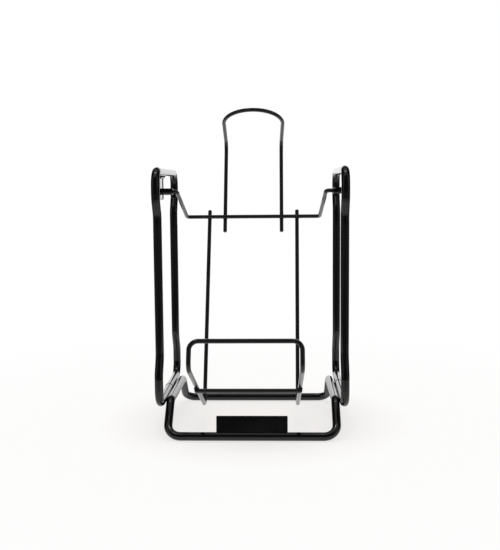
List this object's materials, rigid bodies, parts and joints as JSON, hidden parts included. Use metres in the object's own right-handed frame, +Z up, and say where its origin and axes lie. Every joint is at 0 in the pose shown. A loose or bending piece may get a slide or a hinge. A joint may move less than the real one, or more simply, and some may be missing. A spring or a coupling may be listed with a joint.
{
  "type": "tilting bottle cradle",
  "caption": "Wire bottle cradle that swings between two side loops on a bent rod stand, for pouring from a large heavy bottle, with a blank name plate at the front.",
  "frame": {"origin": "middle of the stand on the surface it stands on", "axes": "+X to the right seen from the front, +Y to the back, +Z up"},
  "size_m": [0.1862, 0.273, 0.313],
  "materials": {
    "frame_paint": "gloss black",
    "fitting_paint": "gloss black",
    "wire_paint": "gloss black",
    "plate_paint": "satin black"
  },
  "bodies": {
    "stand": {"base_frame": "frame_paint", "side_loop_left": "frame_paint", "side_loop_right": "frame_paint", "pivot_plate_left": "fitting_paint", "pivot_plate_right": "fitting_paint", "pivot_bush_left": "fitting_paint", "pivot_bush_right": "fitting_paint", "name_plate": "plate_paint"},
    "cradle": {"yoke_wire": "wire_paint", "main_wire": "wire_paint", "neck_loop": "wire_paint", "floor_bar": "wire_paint"}
  },
  "joints": [
    {"name": "cradle_tilt", "type": "hinge", "parent": "stand", "child": "cradle", "pos_m": [0, 0, 0.2291], "axis": [1, 0, 0], "continuous": true}
  ]
}
